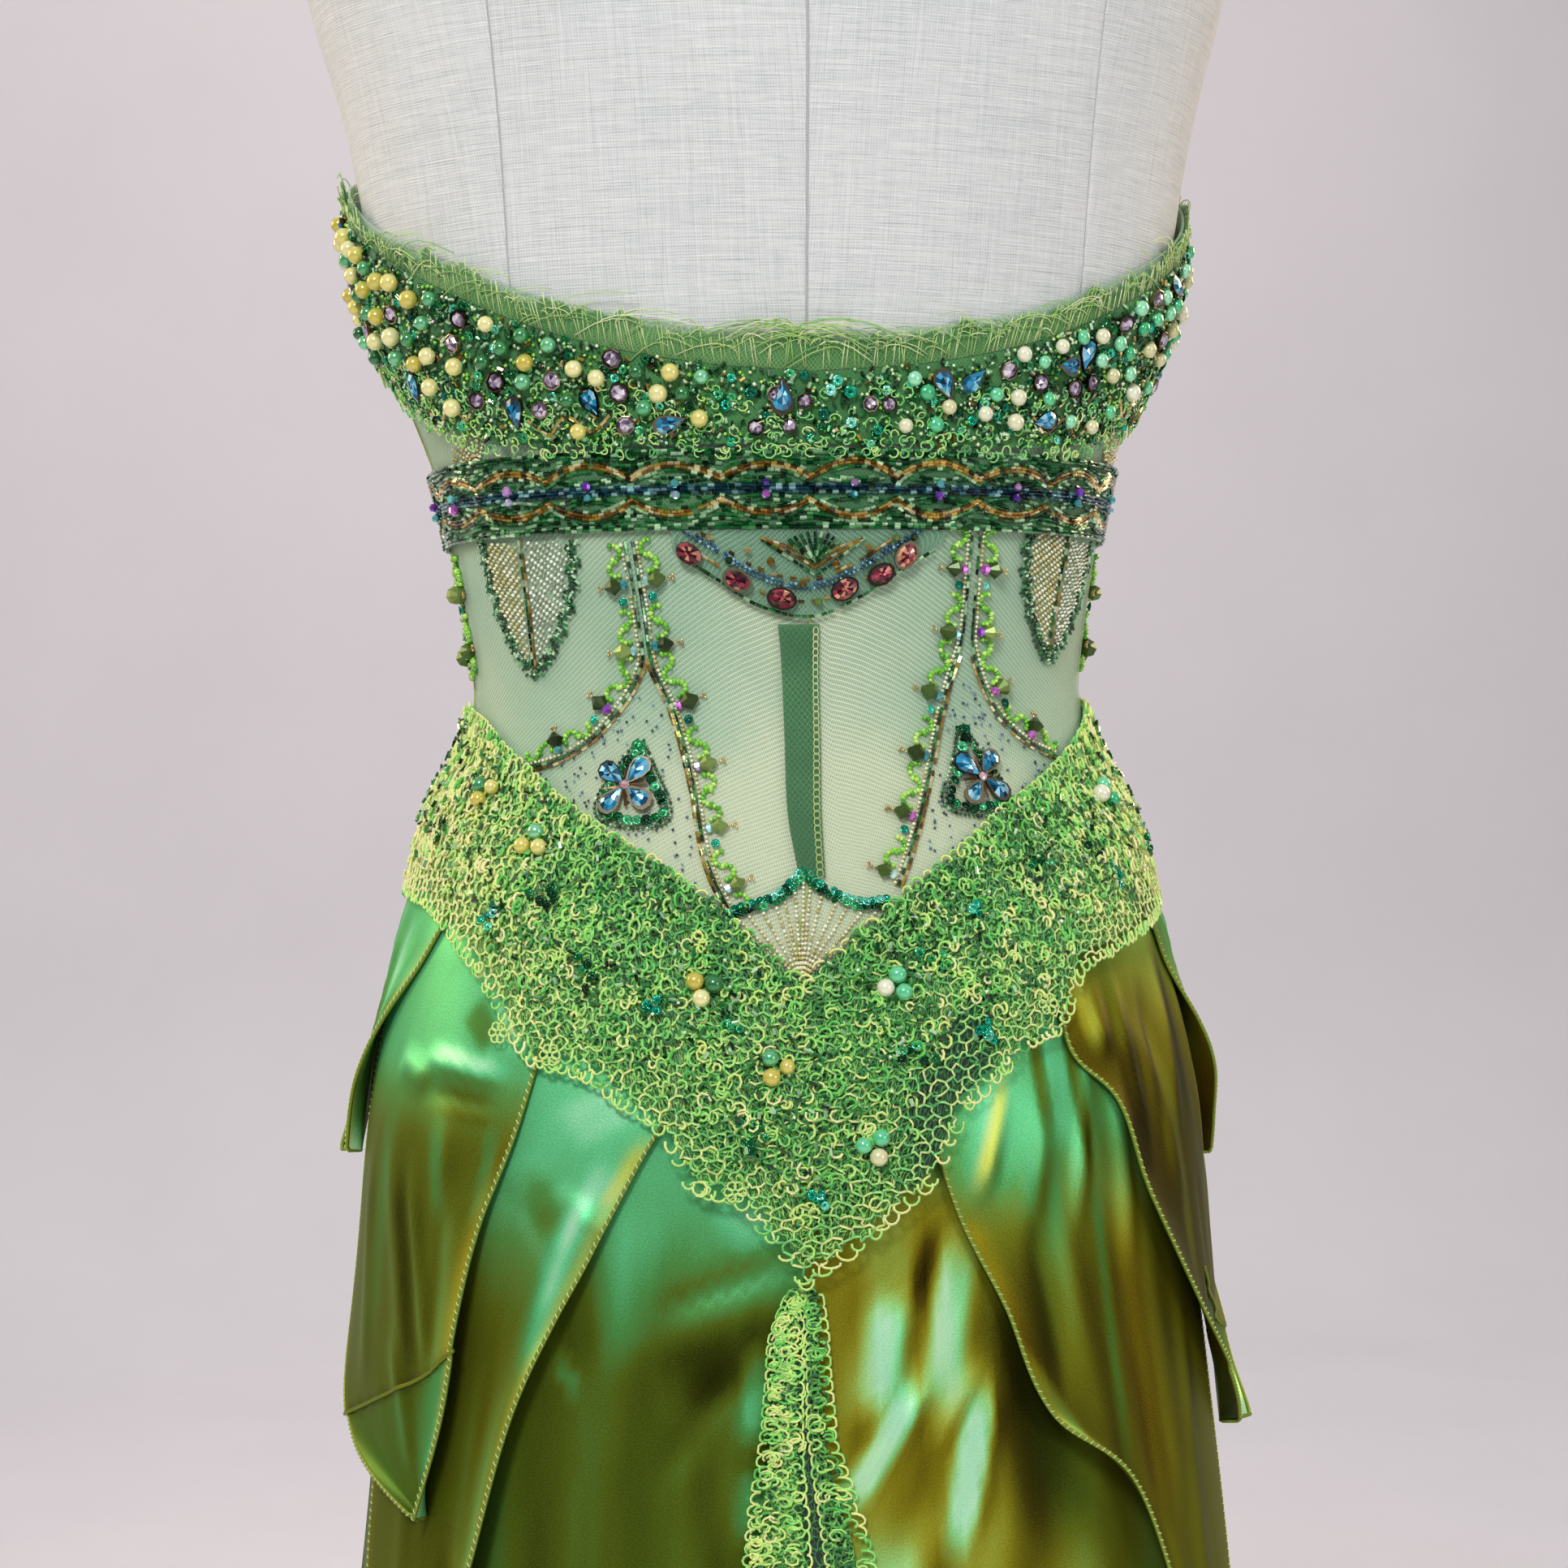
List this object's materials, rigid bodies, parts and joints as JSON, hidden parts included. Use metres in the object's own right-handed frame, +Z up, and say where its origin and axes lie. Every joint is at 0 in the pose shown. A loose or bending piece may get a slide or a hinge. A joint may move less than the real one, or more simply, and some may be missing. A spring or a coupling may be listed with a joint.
{
  "type": "beaded cocktail dress on a limbless dress form",
  "caption": "Strapless beaded net bodice with a lace yoke and petal satin skirt, worn by a limbless linen dress form on a pole stand with a round foot.",
  "frame": {"origin": "centre of the stand's round foot, on the floor", "axes": "+Z up; +Y out of the dress's front, so the beaded back faces -Y; +X to the wearer's right"},
  "size_m": [0.4143, 0.3532, 1.5713],
  "materials": {
    "linen": "undyed grey-white slubby linen, glued over the form",
    "wood": "stained, lacquered",
    "stand_metal": "black satin paint",
    "bodice_net": "fine sheer sea-green net",
    "edging_net": "doubled mid-green net with a raw edge",
    "beads": "close-sewn bugles, seed beads, pearls and set stones",
    "lace": "corded looped lace, lime to mid green",
    "satin": "shot satin, olive gold with mint highlights"
  },
  "bodies": {
    "root": {"form_torso": "linen", "form_neck_cap": "wood", "form_pole": "stand_metal", "form_base": "stand_metal", "bodice_back_left": "bodice_net", "bodice_back_right": "bodice_net", "bodice_front": "bodice_net", "bodice_side_front_left": "bodice_net", "bodice_side_front_right": "bodice_net", "net_edging_back": "edging_net", "net_edging_front": "edging_net", "back_placket": "edging_net", "bead_border_back": "beads", "bead_border_front": "beads", "wave_band_back": "beads", "wave_band_front": "beads", "jewel_swag": "beads", "lace_yoke_back": "lace", "lace_yoke_front": "lace", "lace_tail": "lace", "skirt_back_left": "satin", "skirt_back_right": "satin", "skirt_front_left": "satin", "skirt_front_right": "satin", "petal_back_left_inner": "satin", "petal_back_left_middle": "satin", "petal_left_outer": "satin", "petal_back_right_inner": "satin", "petal_back_right_middle": "satin", "petal_right_outer": "satin", "petal_front_left_middle": "satin", "petal_front_left_inner": "satin", "petal_front_right_middle": "satin", "petal_front_right_inner": "satin"}
  },
  "joints": []
}
